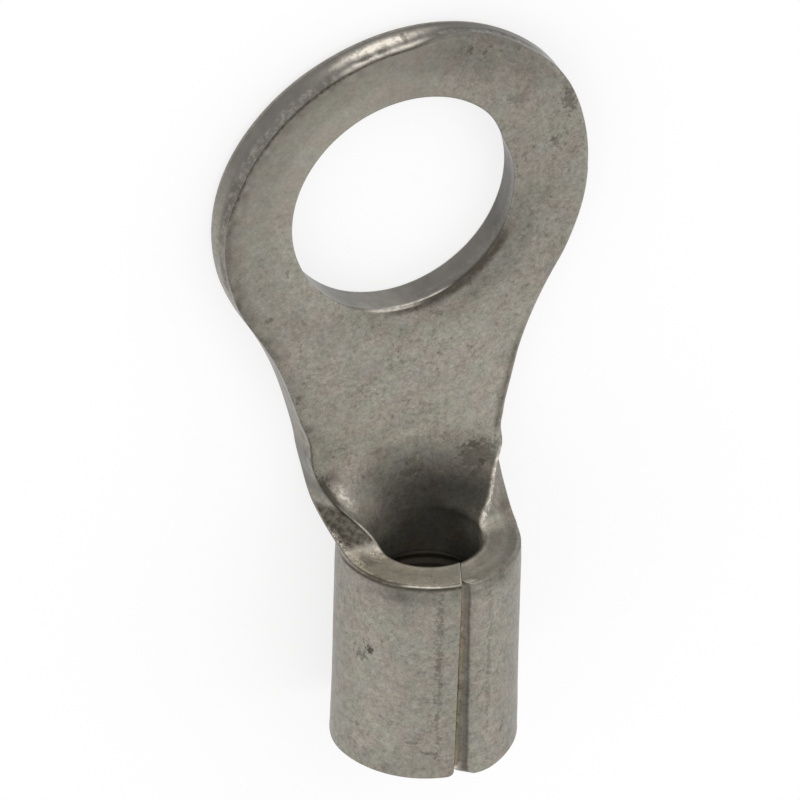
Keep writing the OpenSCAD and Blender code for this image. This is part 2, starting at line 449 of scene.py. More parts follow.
def outward(points, edges, on_outline, count):
    """Unit directions out of the sheet at the outline's points: the mean of both edges' normals."""
    run = points[edges[:, 1]] - points[edges[:, 0]]
    run /= np.linalg.norm(run, axis=1, keepdims=True)
    out = np.stack([run[:, 1], -run[:, 0]], -1)
    normal = np.zeros((count, 2))
    np.add.at(normal, on_outline[:, 0], out)
    np.add.at(normal, on_outline[:, 1], out)
    return normal / np.linalg.norm(normal, axis=1, keepdims=True)


class Places:
    """Where points of the blank lie on the terminal, in millimetres and degrees.

    The masks hole, barrel, opening, tongue and left run from 0 to 1 and fade into each other.
    """

    def __init__(self, blank, a, along):
        self.a, self.along = a / MM, along / MM
        self.x = self.a + BARREL_X / MM
        self.around = np.degrees(np.arctan2(self.along, self.x))
        self.out = np.hypot(self.x, self.along)
        self.from_hole = self.out - blank.s.stud_r / MM
        self.from_rim = (along - blank.rim) / MM
        self.from_wire = (along - blank.wire_end) / MM
        self.hole = faded(self.from_hole, 0.6, 0.9)
        self.barrel = faded(self.from_rim, -0.02, 0.02)
        self.opening = (1 - self.barrel) * faded(self.from_rim, 1.7, 2.2)
        self.tongue = (1 - self.barrel) * (1 - self.opening) * (1 - self.hole)
        self.left = faded(self.a, -0.4, 0.4)

    def turned(self, low, high, fade=10):
        """1 between two directions from the hole's centre, in degrees, fading out over a few degrees."""
        middle, half = (low + high) / 2, (high - low) / 2
        off = np.abs((self.around - middle + 180) % 360 - 180)
        return faded(off, half - fade / 2, half + fade / 2)

    def between(self, low, high, fade=0.15):
        """1 between two distances from the rim towards the ring."""
        return eased(self.from_rim, low - fade, low + fade) * faded(self.from_rim, high - fade, high + fade)

    def patch(self, a, width, from_rim, reach):
        """A smooth patch about a place across the sheet and along it from the rim."""
        return hump(self.a, a, width) * hump(self.from_rim, from_rim, reach)

    def left_of_seam(self):
        """1 along the rim from its left corner to the seam, weaker over the last stretch."""
        return eased(-self.a, 3.78, 3.95) * (1 - 0.7 * eased(-self.a, 4.48, 4.7))

    def creased(self):
        """Where a fine crease runs under the sharp upper edge: left of the ring, the neck and the opening."""
        ring = self.turned(84, 172, 10) * (1 - self.hole)
        return np.maximum(ring, self.left * eased(-self.along, 4.6, 5.2) * eased(self.from_rim, 0.7, 1.0))

    def torn(self, level):
        """1 in the torn upper part of the cut edge, above a wavering limit."""
        return eased(level + 0.07 * smooth_noise(self.a, self.along, 0.3, 11), 0.5, 0.62)


class Terminal:
    """Bends the flat mesh and its thickness into the terminal, with its edges and marks."""

    def __init__(self, sizes):
        self.s = sizes
        self.blank = Blank(sizes)

    def bend(self, a, along, height):
        """Lays a point on a circle whose curvature falls from the barrel's to none at the flat."""
        b = self.blank
        part = np.clip((along - b.rim) / self.s.opening_length, 0, 1)
        curve = (1 - part) ** OPENING_HASTE * (1 + OPENING_HASTE * part) / b.mid_r
        curve = np.maximum(curve, LEAST_CURVATURE)
        turn = curve * a
        x = BARREL_X + np.sin(turn) * (1 / curve - height)
        z = self.thickness(along) / 2 + (1 - np.cos(turn)) / curve + height * np.cos(turn)
        return np.stack([x, along, z], -1)

    def thickness(self, along):
        """The barrel wall's thickness up to the rim, easing to the flat sheet's over the opening."""
        part = np.clip((along - self.blank.rim) / self.s.opening_length, 0, 1)
        return self.s.sheet + (self.blank.wall - self.s.sheet) * (1 - part) ** 2

    def placed(self, a, along, height, level):
        """Bends points whose place on the cut faces and whose share of the thickness are given."""
        side, on = self.blank.edge_shift(a, along, level)
        return self.bend(a + side + self.blank.seam_shift(a, along, level), along + on, height)

    def sway(self, p):
        """Shallow waviness of the whole sheet, in metres, and the slight flare of the wire end."""
        wave = 0.006 * smooth_noise(p.a, p.along, 1.9, 3) + 0.003 * smooth_noise(p.a, p.along, 0.8, 4)
        flare = 0.030 * np.exp(-p.from_wire / 0.35) + 0.012 * hump(p.from_wire, 0.6, 0.5)
        return (wave - flare - 0.016 * faded(p.from_rim, -0.6, 0.1)) * MM

    def grooves(self, along, margin=0.0):
        """Depth of the grooves round the inside of the barrel, with eased sides, or a mask a margin wider."""
        centre = (self.blank.wire_end + self.blank.rim) / 2
        low, high = GROOVE_W / 2 - GROOVE_EASE, GROOVE_W / 2 + GROOVE_EASE
        steps = [centre + (i - (GROOVE_COUNT - 1) / 2) * GROOVE_PITCH for i in range(GROOVE_COUNT)]
        return sum(faded(np.abs(along - step) - margin, low, high) for step in steps)

    def upper_radius(self, p):
        """Rounding of the upper edge: sharp on the left of the ring and neck, pressed round on the right."""
        sharp, worn = self.s.sharp_edge_r, self.s.worn_edge_r
        ring = sharp + 0.06 * MM * p.turned(-70, 60, 24) + (worn - sharp) * p.turned(52, 82, 20)
        neck = sharp + 0.06 * MM * (1 - p.left)
        on_ring = eased(p.along, -3.8, -2.8)
        hole = sharp + 0.03 * MM * p.turned(150, 205, 40)
        rest = sharp + 0.02 * MM * (1 - p.left)
        tongue = (ring * on_ring + neck * (1 - on_ring)) * p.tongue
        return hole * p.hole + tongue + rest * (p.opening + p.barrel) * (1 - p.hole)

    def lower_radius(self, p):
        """Rounding of the lower edge: wide round the ring, small at the rim, the seam and the wire end."""
        sharp, neck = self.s.sharp_edge_r, 0.09 * MM
        tongue = neck + (self.s.lower_edge_r - neck) * eased(p.along, -3.8, -1.5)
        opening = sharp + (neck - sharp) * eased(p.from_rim, 0.25, 1.1)
        right_rim = (1 - p.left) * faded(p.a, 4.2, 4.6) * eased(p.from_rim, -0.3, -0.1)
        barrel = sharp + 0.05 * MM * right_rim
        return sharp * p.hole + barrel * p.barrel + tongue * p.tongue + opening * p.opening * (1 - p.hole)

    def sides(self, along, p, distance):
        """Heights of the upper and the lower side about the sheet's middle, in metres."""
        half, sway = self.thickness(along) / 2, self.sway(p)
        fine = [0.0012 * MM * smooth_noise(p.a, p.along, 0.22, seed) for seed in (5, 6)]
        grooves = self.s.groove_depth * self.grooves(along)
        upper = half - rounded(distance, self.upper_radius(p)) + sway - grooves + fine[0]
        return upper, rounded(distance, self.lower_radius(p)) - half + sway + fine[1]

    def sheared(self, p, level):
        """How far the cut edge stands out: smooth low down, torn further up, then the crease."""
        streak = smooth_noise(p.a + 0.35 * p.along, p.along - 0.35 * p.a, 0.1, 12)
        coarse = smooth_noise(p.a, p.along, 0.35, 13)
        rough = p.torn(level) * (-0.012 + 0.008 * streak + 0.010 * coarse) * faded(level, 0.86, 0.94)
        crease = -0.030 * hump(level, 0.945, 0.022) * p.creased()
        return (rough * (1 - 0.65 * p.hole) * (1 - 0.8 * p.barrel) + crease) * MM

    def build(self):
        """Returns the points, the quads and a dict of values at each point.

        The points are the upper side's, the lower side's and then the cut edge's, level by level.
        """
        flat, quads = self.blank.mesh()
        edges = outline_edges(quads, len(flat))
        distance = distance_to_outline(flat, edges)
        a, along = flat[:, 0], flat[:, 1]
        face = Places(self.blank, a, along)
        upper, lower = self.sides(along, face, distance)
        outline, on_outline = np.unique(edges, return_inverse=True)
        on_outline = on_outline.reshape(edges.shape)
        normal = outward(flat, edges, on_outline, len(outline))
        level = WALL_LEVELS[:, None]
        wall = Places(self.blank, a[outline][None], along[outline][None])
        pushed = flat[outline] + normal * self.sheared(wall, level)[..., None]
        height = lower[outline] + (upper - lower)[outline] * level
        edge = self.placed(pushed[..., 0], pushed[..., 1], height, level)
        points = [self.placed(a, along, upper, 1.0), self.placed(a, along, lower, 0.0), edge.reshape(-1, 3)]
        faces = [quads, quads[:, ::-1] + len(flat)]
        lines = 2 * len(flat) + np.arange(len(WALL_LEVELS) * len(outline)).reshape(len(WALL_LEVELS), -1)
        lines = [len(flat) + outline, *lines, outline]
        start, end = on_outline[:, 0], on_outline[:, 1]
        for low, high in zip(lines[:-1], lines[1:]):
            faces.append(np.stack([low[start], low[end], high[end], high[start]], -1))
        values = Surface(self, face, distance, wall, level).values()
        return np.concatenate(points), np.concatenate(faces), values


# Painted light and shade in the trough: strength, place and width across, place and reach from the rim
TROUGH_LIGHT_AND_SHADE = (
    (0.45, -1.25, 0.38, 1.65, 0.35),
    (-0.10, -0.85, 0.50, 0.80, 0.40),
    (0.35, -0.10, 0.50, 1.93, 0.14),
    (0.50, -1.20, 0.35, -0.05, 0.40),
    (0.90, 2.20, 0.40, -0.10, 0.50),
    (1.10, -0.65, 0.50, -0.35, 0.40),
    (1.60, 2.90, 0.40, -0.12, 0.30),
    (0.22, -0.70, 0.80, 2.50, 0.70),
    (-0.15, 0.50, 0.90, 1.25, 0.20),
)
# Painted light and shade along the rim's face: strength, place and width across
RIM_LIGHT_AND_SHADE = ((-0.5, 3.2, 0.7), (0.45, 4.7, 0.5), (0.35, -3.9, 0.8))


class Surface:
    """Masks for the finish and for its painted highlights, light and shade, on the upper and lower face and
    on the cut edge.

    Each mask is a strength times steps and humps that fade it out on all sides. Distances are in millimetres,
    directions in degrees, and level runs up the cut edge from 0 to 1. Tones lie about a middle of 1.
    """

    def __init__(self, terminal, face, distance, wall, level):
        self.terminal, self.blank = terminal, terminal.blank
        self.face, self.wall, self.level = face, wall, level
        self.from_edge = distance / MM
        self.seam_at = self.blank.mid_r * math.pi / MM
        self.fine = smooth_noise(face.a, face.along, 0.09, 21)
        self.lumps = smooth_noise(face.a, face.along, 0.17, 33)
        self.blotch = smooth_noise(wall.a, wall.along, 0.16, 22)
        # Painted highlights: a band along the right wing's edge and a patch on the left wing's lip
        self.right_wing_highlight = (1 - face.left) * face.between(0.05, 1.2, 0.07) * self.near_edge(0.03, 0.11)
        self.lip_highlight = 0.85 * face.patch(-1.80, 0.18, 0.86, 0.24)
        # Painted shade in the slot beside the left lip
        self.slot_shade = face.left * face.between(0.84, 1.33, 0.12) * self.near_edge(0.10, 0.17)
        # A darker band along the hole's lower right edge
        dark_band_by_hole = face.turned(-94, -28, 18) * face.hole * (0.85 + 0.3 * self.fine)
        self.dark_band_by_hole = dark_band_by_hole * (1 - eased(self.from_edge, 0.06, 0.27) * (1 - 0.25 * self.lumps))
        self.left_wall = wall.left * (1 - wall.hole)
        root = self.left_wall * wall.between(-0.04, 0.06, 0.03) * eased(-wall.a, 2.36, 2.5)
        self.root = root * faded(-wall.a, 2.9, 3.1)
        # The same darker band on the hole's wall, just under its upper edge
        self.hole_edge = wall.turned(-72, -27, 14) * wall.hole * eased(level, 0.84, 0.96)

    def near_edge(self, low, high):
        """1 on a face up to a distance from its edge, 0 beyond a second one."""
        return faded(self.from_edge, low, high)

    def highlight_upper(self):
        """Painted highlights on the upper face: the hole's lower lip, the left wing's lip and the right wing.
        """
        face = self.face
        hole_lip = 0.5 * face.turned(-108, -84, 14) * face.hole * self.near_edge(0.03, 0.07)
        left_lip = 0.3 * face.left * face.between(0.05, 0.55, 0.1) * self.near_edge(0.02, 0.05)
        return strongest(hole_lip, left_lip, 0.4 * self.right_wing_highlight, 0.38 * self.lip_highlight)

    def highlight_lower(self):
        """Painted highlight along the rim where it turns onto the outside of the barrel, left of the seam."""
        line = self.face.barrel * self.face.left_of_seam() * eased(self.face.from_rim, -0.022, -0.008)
        return 1.1 * line * (0.9 + 0.3 * self.fine)

    def tip_highlights(self):
        """Two painted highlight lines round the ring's tip, one below the cut edge's middle and one near its
        top.
        """
        wall, level = self.wall, self.level
        first = 1.7 * hump(wall.around, 98, 13) * hump(level, 0.39 + 0.03 * self.blotch, 0.15)
        second = 0.85 * wall.turned(84, 112, 10) * hump(level, 0.80, 0.10)
        return np.maximum(first, second) * (0.85 + 0.15 * self.blotch) * (1 - wall.hole)

    def rim_highlight(self):
        """Painted highlight on the rim's outer line: beads at the left fold, a line up to the seam and one
        bead past it.
        """
        wall, level = self.wall, self.level
        at_rim = eased(wall.from_rim, -0.01, 0.0) * faded(wall.from_rim, 0.5, 0.6)
        beads = eased(smooth_noise(wall.a, wall.along, 0.11, 31), 0.0, 0.4) * eased(-wall.a, 2.3, 2.5)
        beads = np.maximum(beads * faded(-wall.a, 3.2, 3.4), hump(wall.a, -3.57, 0.07))
        line = wall.left_of_seam() * (0.75 + 0.25 * self.blotch)
        past_seam = 1.2 * hump(wall.a, self.seam_at - 0.13, 0.06) * faded(level, 0.10, 0.16)
        return at_rim * np.maximum(faded(level, 0.06, 0.12) * np.maximum(beads, line), past_seam)

    def highlight_wall(self):
        """Painted highlights on the cut edge: the ring's tip, the left fold, the rim and the hole's lower
        lip.
        """
        wall, level = self.wall, self.level
        fold = 0.55 * self.left_wall * hump(wall.a, -2.80, 0.12) * wall.between(-0.04, 0.06, 0.03)
        fold = fold * hump(level, 0.66, 0.14) * (0.8 + 0.3 * self.blotch)
        lip = 0.62 * wall.turned(-98, -67, 12) * wall.hole * hump(level, 0.95, 0.05)
        return strongest(self.tip_highlights(), fold, self.rim_highlight(), lip)

    def scuffs_and_highlights_wall(self):
        """Scuffs of the cut edge with painted highlights: the right wing's top, the left wing's root and its
        outer line.
        """
        wall, level = self.wall, self.level
        wing = 0.65 * (1 - wall.left) * wall.between(0.05, 1.2, 0.07) * eased(level, 0.78, 0.95)
        outer_line = 0.9 * self.left_wall * wall.between(0.0, 0.35, 0.06) * faded(level, 0.08, 0.16)
        ends = eased(level, 0.52, 0.70) + faded(level, 0.16, 0.30)
        return strongest(wing, self.root * (0.25 + 0.75 * ends), outer_line)

    def dirt_and_shade_upper(self):
        """Dirt and painted shade of the upper face: painted shade in the slot beside the left lip and in the
        crease lines along the edges, darker bands at the hole's lower right and on the right neck, and specks
        near the edges.
        """
        face, fine = self.face, self.fine
        slot_top_shade = 0.8 * face.left * hump(face.from_rim, 1.29, 0.18) * self.near_edge(0.34, 0.60)
        side = face.turned(100, 235, 30) * (1 - face.hole)
        side = np.maximum(side, face.left * eased(-face.along, 2.0, 2.6))
        # Painted shade in the crease lines along the edges
        line = np.maximum(face.creased() * self.near_edge(0.015, 0.035),
                          side * self.near_edge(0.02, 0.05) * (0.5 + 0.5 * fine))
        fringe = side * (face.tongue + face.opening) * self.near_edge(0.03, 0.5)
        fringe = fringe * (0.36 + 0.4 * self.lumps + 0.22 * face.turned(184, 222, 12))
        right_neck = (1 - face.left) * eased(-face.along, 3.4, 4.4) * eased(face.from_rim, 1.4, 1.7)
        right_neck = right_neck * (0.75 + 0.2 * fine) * hump(self.from_edge, 0.12, 0.08)
        return strongest(1.7 * self.slot_shade, 1.5 * self.dark_band_by_hole, line, fringe, right_neck, slot_top_shade)

    def dirt_and_shade_lower(self):
        """Darker places on the outside of the barrel: a line under the rim, its corners, patches below the
        rim and a strip right of the seam.
        """
        face, below = self.face, -self.face.from_rim
        line = 1.6 * hump(below, 0.064, 0.036) * (0.25 + 0.75 * face.left)
        corner = (0.9 + 0.4 * self.fine) * hump(face.a, -3.3, 0.45) * faded(below, 0.05, 0.12)
        patches_below_rim = eased(smooth_noise(face.a, face.along, 0.2, 32), 0.0, 0.6) * faded(below, 0.1, 0.6)
        rim_dirt = strongest(line, corner, 0.5 * patches_below_rim) * eased(np.abs(face.a), 2.0, 2.6)
        by_seam = eased(face.a, self.seam_at - 0.05, self.seam_at - 0.01) * (0.5 + 0.4 * self.fine)
        return face.barrel * strongest(rim_dirt, by_seam, 0.6 * face.patch(3.9, 0.25, 0.0, 0.1))

    def dirt_and_shade_wall(self):
        """Dirt and painted shade of the cut edge: painted shade in the crease, the left lip's groove and
        along both wings, a darker band under the hole's edge, and darker corners of the rim.
        """
        wall, level = self.wall, self.level
        # Painted shade in the crease under the sharp upper edge
        crease = 1.3 * hump(level, 0.965, 0.045) * wall.creased()
        lip_groove_shade = 1.3 * self.left_wall * wall.between(0.12, 1.25, 0.08) * hump(level, 0.93, 0.085)
        left_ribbon_shade = self.left_wall * wall.between(0.11, 0.72, 0.05)
        right_ribbon_shade = 0.5 * (1 - wall.left) * wall.between(-0.05, 0.3) * faded(level, 0.2, 0.5)
        root = (0.25 + 0.45 * hump(level, 0.40, 0.16)) * self.root
        left_corner = (0.75 + 0.35 * self.blotch) * self.left_wall * wall.between(-0.03, 0.03, 0.02)
        left_corner = left_corner * hump(wall.a, -3.35, 0.36) * faded(level, 0.06, 0.16)
        right_corner = 0.6 * wall.between(-0.01, 0.05, 0.02) * hump(wall.a, 3.95, 0.25)
        right_corner = right_corner * faded(level, 0.1, 0.25)
        wings = strongest(lip_groove_shade, left_ribbon_shade, right_ribbon_shade, root)
        return strongest(crease, wings, self.hole_edge, left_corner, right_corner)

    def cut_edge_and_shade(self):
        """How much the cut edge takes its own smoother, darker grey, which also lays painted shade on the
        walls: less so on the ring's and the neck's left, which are kept lighter as if lit, and on the barrel.
        """
        wall = self.wall
        unshaded = wall.turned(168, 225, 30) * (1 - wall.hole)
        unshaded = unshaded + wall.tongue * wall.left * (1 - wall.turned(60, 240, 20))
        shade = np.clip(1 - unshaded, 0, 1) * (1 - 0.9 * wall.barrel) * (1 - 0.8 * wall.between(-0.1, 0.9))
        hole = wall.hole * (1 - 0.6 * wall.turned(-128, -88, 10))
        return strongest(shade, 0.55 * wall.between(-0.03, 0.02, 0.02), hole)

    def torn_glints(self):
        """Streaks in the torn part of the cut edge, laid as faint painted highlights, outside the barrel and
        the opening.
        """
        wall = self.wall
        torn = wall.torn(self.level) * faded(self.level, 0.9, 0.95) * (1 - 0.7 * wall.hole)
        return torn * (1 - wall.barrel) * (1 - 0.8 * wall.between(-0.1, 1.2))

    def light_and_shade_upper(self):
        """Painted light and shade of the ring, the neck and the trough, with painted shade in the hollow and
        the slot, and darker in the band by the hole.
        """
        face, out = self.face, self.face.from_hole
        neck = 0.16 * faded(face.along, -4.0, -2.2) * eased(face.from_rim, 0.7, 1.4)
        neck = neck + 0.14 * hump(face.from_rim, 1.9, 0.7)
        ring = -0.2 * face.turned(-75, -5, 40) * faded(out, 0.45, 1.05)
        ring = ring - 0.28 * hump(face.around, 70, 22) * eased(out, 0.35, 0.85)
        ring = ring - 0.16 * hump(face.around, 44, 14) * eased(out, 0.9, 1.2)
        ring = ring - 0.07 * face.turned(105, 170, 30) * eased(out, 0.4, 0.8)
        by_hole = 0.15 * face.turned(100, 240, 30) - 0.12 * hump(face.around, -105, 10)
        trough = sum(strength * face.patch(*place) for strength, *place in TROUGH_LIGHT_AND_SHADE)
        tone = 1 + neck + ring + by_hole * faded(out, 0.3, 0.8) + trough
        # Painted shade deep in the hollow
        hollow_shade = 0.82 * face.patch(1.3, 1.35, 0.45, 0.70)
        return tone * (1 - hollow_shade) * (1 - 0.5 * np.clip(self.dark_band_by_hole, 0, 1)) * (1 - 0.5 * self.slot_shade)

    def light_and_shade_lower(self):
        """Painted light and shade of the outside: darker and lighter stretches below the rim and by the wire
        end, and painted light on the edge left of the ring.
        """
        face, below = self.face, -self.face.from_rim
        darkening = np.maximum(0.34 * faded(below, 0.3, 0.6), 0.14 * faded(below, 0.6, 1.2))
        darkening = darkening * hump(face.a, -3.65, 0.5)
        darkening = darkening + 0.2 * hump(face.a, -4.0, 0.45) * faded(below, 0.35, 0.55)
        darkening = darkening + 0.35 * face.patch(4.3, 0.35, -0.15, 0.15)
        darkening = darkening + 0.12 * hump(face.a, -3.6, 0.6) * faded(face.from_wire, 0.3, 0.8)
        darkening = darkening - 0.08 * hump(np.abs(face.a), 4.5, 0.45) * eased(below, 0.3, 0.8)
        tone = (1 + 0.22 * face.barrel * hump(face.a, -3.1, 0.8)) * (1 - darkening * face.barrel)
        # Painted light on the edge left of the ring
        return tone + 0.18 * face.turned(168, 214, 14) * self.near_edge(0.12, 0.2)

    def rim_light_and_shade(self):
        """Painted light and shade of the rim's face: how much lighter it is than the rest of the cut edge."""
        wall = self.wall
        on_rim = wall.between(-0.03, 0.16, 0.06) * (1 - wall.between(-9, -0.02, 0.01))
        tone = 1.15 + 0.5 * wall.left + humps(wall.a, RIM_LIGHT_AND_SHADE)
        return on_rim * (tone - 0.35 * hump(wall.a, 3.4, 0.5) * faded(self.level, 0.05, 0.4))

    def seam_light_and_shade(self):
        """Painted light and shade of the seam's cut faces: the left one lighter, the right one darker outside
        and lighter further in.
        """
        wall = self.wall
        on_seam = wall.barrel * eased(np.abs(wall.a), 3.8, 4.2)
        on_seam = on_seam * faded(wall.from_rim, -0.12, -0.02) * eased(wall.from_wire, 0.02, 0.12)
        gap, _ = self.blank.seam_gap(wall.along * MM)
        deep = self.level * self.blank.wall * (SEAM_SLANT - BEVEL_SLANT) / gap
        bevel = 0.42 + 0.85 * eased(deep, 0.3, 0.75) + 3.6 * eased(deep, 0.68, 1.05)
        return on_seam * (0.5 * wall.left + (bevel - 1) * (1 - wall.left))

    def hole_shadow(self):
        """Darker stretches of the hole's wall on its right, a little less dark at the top."""
        wall = self.wall
        lit_top = 1 - 0.3 * eased(self.level, 0.62, 0.8) * wall.turned(-16, 22, 10)
        return (0.60 * hump(wall.around, 4, 15) * lit_top + 0.2 * hump(wall.around, -28, 13)) * wall.hole

    def light_and_shade_wall(self):
        """Painted light and shade of the cut edge: the rim, the seam, both wings, the hole's wall and the
        ring's left flank.
        """
        wall, level, outside = self.wall, self.level, 1 - self.wall.hole
        low_wing = wall.between(0.02, 0.2, 0.06) * faded(wall.a, 3.0, 3.3)
        wings = (1 - wall.left) * (0.12 * wall.between(0.25, 1.1, 0.1) - 0.4 * low_wing)
        wings = wings + 0.22 * wall.left * wall.between(0.8, 1.5, 0.15)
        ring = 0.42 * hump(wall.around, -99, 14) * wall.hole - 0.2 * wall.turned(10, 82, 20) * outside
        # Painted light on the ring's left flank
        flank = 0.17 * hump(wall.around % 360, 165, 12) + 0.13 * wall.turned(172, 215, 14)
        flank = flank * faded(level, 0.32, 0.5) * outside
        torn_flank = 0.32 * wall.turned(160, 202, 14) * eased(level, 0.40, 0.60) * faded(level, 0.93, 0.99)
        tone = 1 + self.rim_light_and_shade() + self.seam_light_and_shade() + wings + ring + flank
        return tone * (1 - self.hole_shadow()) * (1 - torn_flank * outside) * (1 - 0.5 * self.hole_edge)

    def inside(self):
        """Painted shade in the trough and the bore: it grows behind the rim and is deepest in the grooves."""
        face, deep = self.face, -self.face.from_rim
        shade = 0.16 * eased(deep, -1.6, 0.1) * (1 - 0.6 * hump(face.a, -1.4, 0.6))
        shade = shade + 0.36 * hump(face.a, 0.7, 1.0) * eased(deep, -0.3, 0.5)
        grooves = 0.9 * self.terminal.grooves(face.along * MM, GROOVE_SHADE)
        return strongest(shade, grooves, 0.6 * eased(deep, 1.3, 1.7))

    def calm(self):
        """Where the ring's upper left has fewer specks and less mottle."""
        upper_left = 0.95 * self.face.turned(75, 175, 40) + 0.35 * self.face.turned(175, 225, 20)
        return upper_left * eased(self.face.along, -2.0, -0.5)

    def joined(self, upper, lower, wall):
        """One array over all points, from the values of the upper face, the lower face and the cut edge."""
        face, edge = self.face.a.shape, (len(self.level), self.wall.a.size)
        return np.concatenate([np.broadcast_to(upper, face), np.broadcast_to(lower, face),
                               np.broadcast_to(wall, edge).ravel()])

    def values(self):
        """All that the finish reads from the mesh, by the names of its attributes."""
        scuffed = np.maximum(0.65 * self.right_wing_highlight, 0.7 * self.lip_highlight)
        matte_wall = self.wall.between(-0.1, 1.0, 0.2)
        return {
            # Painted highlights
            "bright": self.joined(self.highlight_upper(), self.highlight_lower(), self.highlight_wall()),
            # The cut edge's own grey, which also lays painted shade on the walls
            "cut": self.joined(0.0, 0.0, self.cut_edge_and_shade()),
            "torn": self.joined(0.0, 0.0, self.torn_glints()),
            # Dirt and painted shade
            "dark": self.joined(self.dirt_and_shade_upper(), self.dirt_and_shade_lower(), self.dirt_and_shade_wall()),
            # Painted shade in the trough and the bore
            "inside": self.joined(self.inside(), 0.0, 0.0),
            # Painted light and shade
            "tone": self.joined(self.light_and_shade_upper(), self.light_and_shade_lower(), self.light_and_shade_wall()),
            "matte": self.joined(faded(self.face.from_rim, 1.2, 2.6), 0.3, matte_wall),
            "calm": self.joined(self.calm(), 0.0, -0.2 * matte_wall),
            # Scuffs with painted highlights
            "scuffed": self.joined(scuffed, 0.0, self.scuffs_and_highlights_wall()),
        }


def add_mesh(name, points, faces, values):
    """Puts arrays of points and quads into a smooth shaded mesh object, with its values as attributes."""
    mesh = bpy.data.meshes.new(name)
    mesh.vertices.add(len(points))
    mesh.vertices.foreach_set("co", points.astype(np.float32).ravel())
    mesh.loops.add(faces.size)
    mesh.loops.foreach_set("vertex_index", faces.astype(np.int32).ravel())
    mesh.polygons.add(len(faces))
    mesh.polygons.foreach_set("loop_start", np.arange(0, faces.size, 4, dtype=np.int32))
    mesh.polygons.foreach_set("use_smooth", np.ones(len(faces), bool))
    mesh.update(calc_edges=True)
    for key, value in values.items():
        layer = mesh.attributes.new(key, "FLOAT", "POINT")
        layer.data.foreach_set("value", value.astype(np.float32))
    if mesh.validate():
        raise RuntimeError(name + " has faces that had to be mended")
    thing = bpy.data.objects.new(name, mesh)
    bpy.context.scene.collection.objects.link(thing)
    return thing


class Graph:
    """Adds nodes to a tree and joins them, so that what they work out reads like a formula."""

    def __init__(self, tree):
        self.tree = tree

    def join(self, value, socket):
        """Links a node's output to a socket, or sets the socket to a number, a list or a colour."""
        if isinstance(value, bpy.types.NodeSocket):
            self.tree.links.new(value, socket)
        elif socket.type == "RGBA":
            socket.default_value = (*value[:3], 1)
        else:
            socket.default_value = value

    def add(self, kind, inputs=None, **settings):
        """Adds a node with its settings and joins its inputs."""
        node = self.tree.nodes.new(kind)
        for key, value in settings.items():
            setattr(node, key, value)
        for key, value in (inputs or {}).items():
            self.join(value, node.inputs[key])
        return node

    def group(self, tree, **inputs):
        """Adds a node group and joins its inputs by name."""
        node = self.add("ShaderNodeGroup", node_tree=tree)
        for key, value in inputs.items():
            self.join(value, node.inputs[key])
        return node

    def math(self, operation, *values):
        """A Math node on its values, of which the next four are the commonest."""
        return self.add("ShaderNodeMath", dict(enumerate(values)), operation=operation).outputs[0]

    def times(self, a, b):
        return self.math("MULTIPLY", a, b)

    def plus(self, a, b):
        return self.math("ADD", a, b)

    def minus(self, a, b):
        return self.math("SUBTRACT", a, b)

    def larger(self, a, b):
        return self.math("MAXIMUM", a, b)

    def ramp(self, value, low, high):
        """0 below low and 1 above high, smooth between."""
        node = self.add("ShaderNodeMapRange", {"Value": value, "From Min": low, "From Max": high},
                        interpolation_type="SMOOTHSTEP")
        return node.outputs["Result"]

    def scaled(self, value, low, high, to_low, to_high):
        """Carries the range from low to high over to another range, clamped."""
        node = self.add("ShaderNodeMapRange", {"Value": value, "From Min": low, "From Max": high,
                                               "To Min": to_low, "To Max": to_high})
        return node.outputs["Result"]

    def mix(self, factor, a, b, blend="MIX"):
        """Mixes two colours. The sockets 0, 6 and 7 are the factor and the colours A and B."""
        node = self.add("ShaderNodeMix", data_type="RGBA", blend_type=blend)
        for socket, value in ((0, factor), (6, a), (7, b)):
            self.join(value, node.inputs[socket])
        return node.outputs[2]

    def vectors(self, operation, *values):
        """A Vector Math node on its values."""
        return self.add("ShaderNodeVectorMath", dict(enumerate(values)), operation=operation)

    def noise(self, vector, scale, detail, rough):
        """A noise texture's value at a place."""
        inputs = {"Vector": vector, "Scale": scale, "Detail": detail, "Roughness": rough}
        return self.add("ShaderNodeTexNoise", inputs).outputs[0]

    def value(self, name):
        """A value that the mesh carries at its points."""
        return self.add("ShaderNodeAttribute", attribute_name=name).outputs["Fac"]


def node_group(name, inputs, outputs):
    """A new shader group with named sockets, its graph, and its inputs and outputs."""
    tree = bpy.data.node_groups.new(name, "ShaderNodeTree")
    for kind, key, default in inputs:
        socket = tree.interface.new_socket(key, in_out="INPUT", socket_type=kind)
        if default is not None:
            socket.default_value = default
    for kind, key in outputs:
        tree.interface.new_socket(key, in_out="OUTPUT", socket_type=kind)
    graph = Graph(tree)
    return tree, graph, graph.add("NodeGroupInput").outputs, graph.add("NodeGroupOutput").inputs


COLOR, FLOAT, VECTOR = "NodeSocketColor", "NodeSocketFloat", "NodeSocketVector"


# Layers of the mottle below the clouds: noise scale, detail, roughness and depth of tone
MOTTLE_LAYERS = ((4300, 3, 0.6, 0.16), (9000, 2, 0.6, 0.16), (19000, 2, 0.6, 0.18))
# Sideways wander of the hair marks, in metres
HAIR_WANDER = 0.08 * MM


def hair_marks(g, place):
    """Thin dark lines along the borders of bent cells, in sparse groups."""
    wander = g.add("ShaderNodeTexNoise", {"Vector": place, "Scale": 4000.0, "Detail": 1.0}).outputs["Color"]
    bent = g.add("ShaderNodeMix", {0: HAIR_WANDER, 4: place, 5: wander}, data_type="VECTOR").outputs[1]
    cells = g.add("ShaderNodeTexVoronoi", {"Vector": bent, "Scale": 5600.0}, feature="DISTANCE_TO_EDGE")
    hair = g.minus(1.0, g.ramp(cells.outputs["Distance"], 0.0, 0.10))
    return g.times(hair, g.ramp(g.noise(place, 5200, 2, 0.5), 0.50, 0.62))


